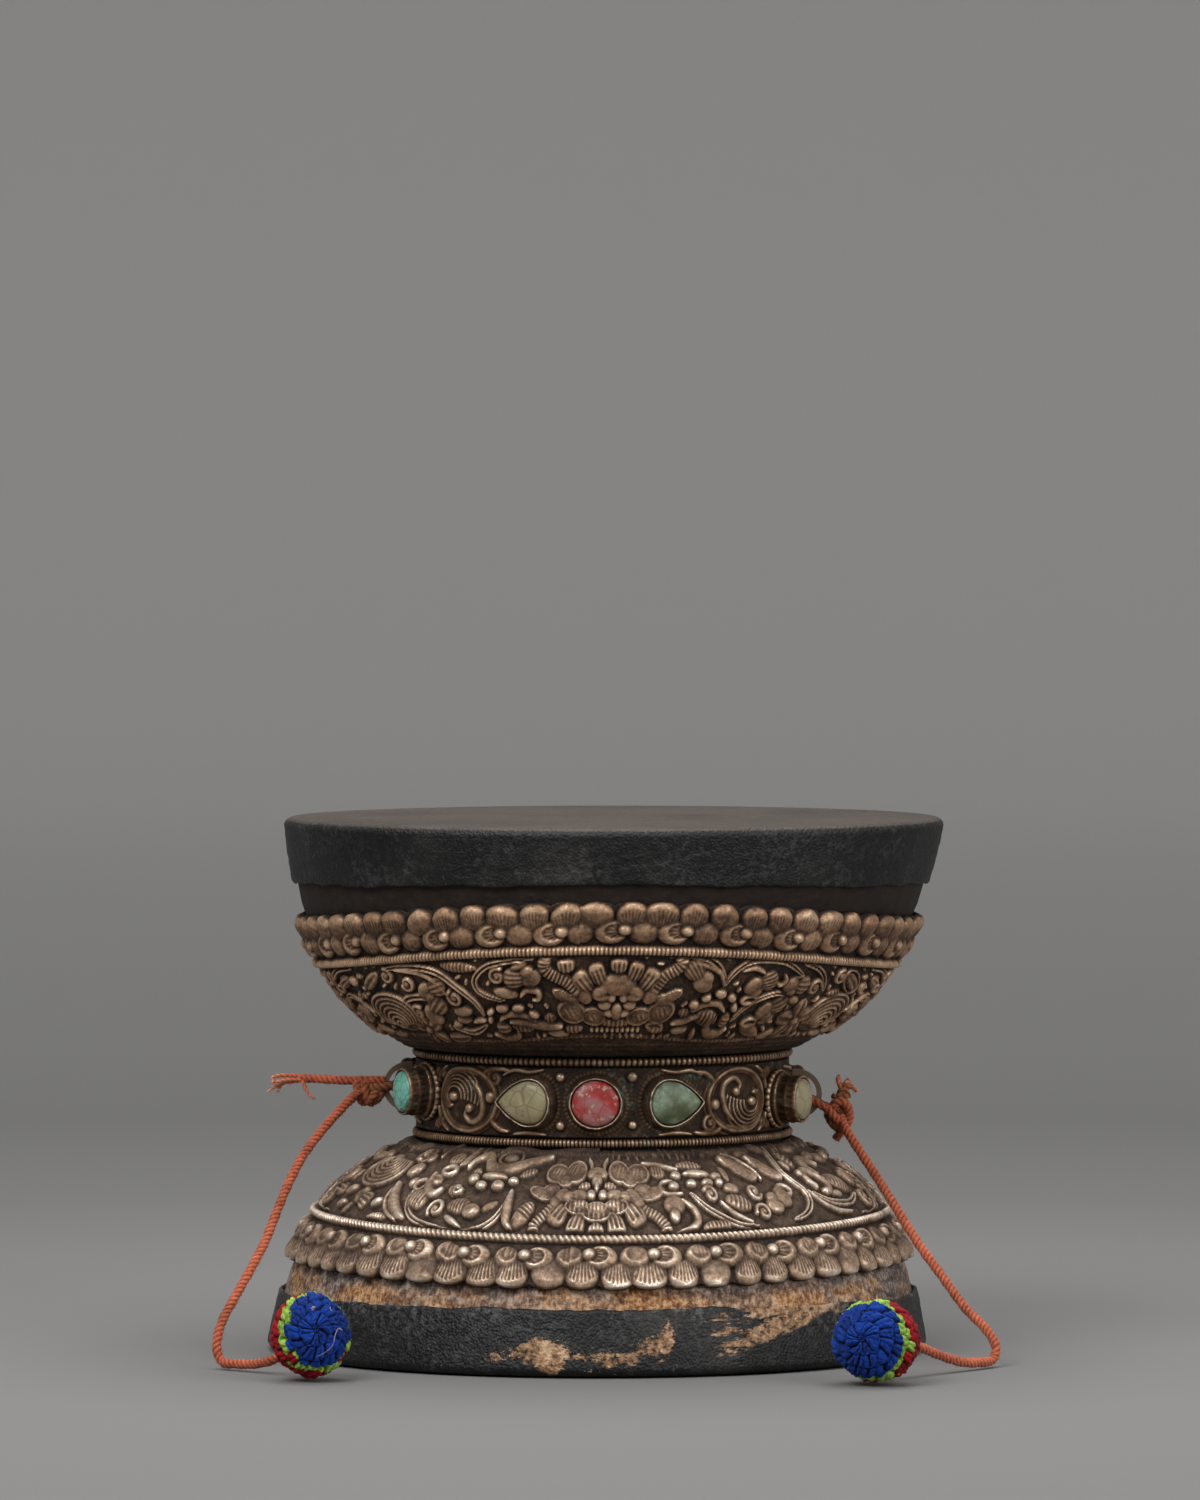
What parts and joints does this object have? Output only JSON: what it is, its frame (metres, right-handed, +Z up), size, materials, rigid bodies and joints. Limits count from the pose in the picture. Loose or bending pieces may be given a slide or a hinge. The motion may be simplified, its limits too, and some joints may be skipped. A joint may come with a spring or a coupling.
{
  "type": "damaru hand drum",
  "caption": "Two-headed hourglass hand drum with embossed metal covers, a stone-set waist belt and corded crochet strikers.",
  "frame": {"origin": "on the rest face of the lower head, straight below the middle of the waist", "axes": "+Z up from the lower head to the upper head, the front with the strikers' balls faces -Y, +X to the right as seen from the front"},
  "size_m": [0.136, 0.1341, 0.0935],
  "materials": {
    "dark_wood": "dark, oiled, worn",
    "black_skin": "pebbled, charcoal black, rubbed at the edges",
    "aged_silver": "embossed sheet, warm brown patina in the hollows",
    "bright_silver": "embossed sheet, silvery crests over dark hollows",
    "belt_bronze": "dark bronze with green verdigris",
    "coral": "polished coral red",
    "olive_stone": "polished pale olive",
    "green_stone": "polished mottled green",
    "turquoise": "polished turquoise",
    "orange_cotton": "twisted cotton cord",
    "ball_cotton": "crocheted cotton in blue, lime and red",
    "core_brown": "plain"
  },
  "bodies": {
    "drum": {"back_coral_setting": "belt_bronze", "back_coral_stone": "coral", "back_green_setting": "belt_bronze", "back_green_stone": "green_stone", "back_left_boss_cup": "belt_bronze", "back_left_boss_stone": "olive_stone", "back_olive_setting": "belt_bronze", "back_olive_stone": "olive_stone", "back_right_boss_cup": "belt_bronze", "back_right_boss_stone": "turquoise", "belt": "belt_bronze", "belt_lower_wire": "belt_bronze", "belt_upper_wire": "belt_bronze", "front_coral_setting": "belt_bronze", "front_coral_stone": "coral", "front_green_setting": "belt_bronze", "front_green_stone": "green_stone", "front_left_boss_cup": "belt_bronze", "front_left_boss_stone": "turquoise", "front_olive_setting": "belt_bronze", "front_olive_stone": "olive_stone", "front_right_boss_cup": "belt_bronze", "front_right_boss_stone": "olive_stone", "left_knot": "orange_cotton", "left_knot_tail": "orange_cotton", "left_lug": "belt_bronze", "lower_border_wire": "bright_silver", "lower_cover": "bright_silver", "lower_head": "black_skin", "lower_shell": "dark_wood", "right_knot": "orange_cotton", "right_knot_tail": "orange_cotton", "right_lug": "belt_bronze", "upper_border_wire": "aged_silver", "upper_cover": "aged_silver", "upper_head": "black_skin", "upper_shell": "dark_wood"},
    "left_cord": {"left_cord_hanging": "orange_cotton"},
    "left_ball": {"left_cord_lying": "orange_cotton", "left_ball_cover": "ball_cotton", "left_ball_core": "core_brown"},
    "right_cord": {"right_cord_hanging": "orange_cotton"},
    "right_ball": {"right_cord_lying": "orange_cotton", "right_ball_cover": "ball_cotton", "right_ball_core": "core_brown"}
  },
  "joints": [
    {"name": "left_striker_swing", "type": "hinge", "parent": "drum", "child": "left_cord", "pos_m": [-0.04161, 0, 0.04571], "axis": [0, 1, 0], "range_deg": [0, 115]},
    {"name": "left_ball_turn", "type": "hinge", "parent": "left_cord", "child": "left_ball", "pos_m": [-0.0664, -0.0402, 0.0032], "axis": [0, 0, -1], "range_deg": [-15, 120]},
    {"name": "right_striker_swing", "type": "hinge", "parent": "drum", "child": "right_cord", "pos_m": [0.04166, 0, 0.04122], "axis": [0, -1, 0], "range_deg": [0, 115]},
    {"name": "right_ball_turn", "type": "hinge", "parent": "right_cord", "child": "right_ball", "pos_m": [0.0679, -0.0362, 0.0032], "axis": [0, 0, 1], "range_deg": [-15, 120]}
  ]
}
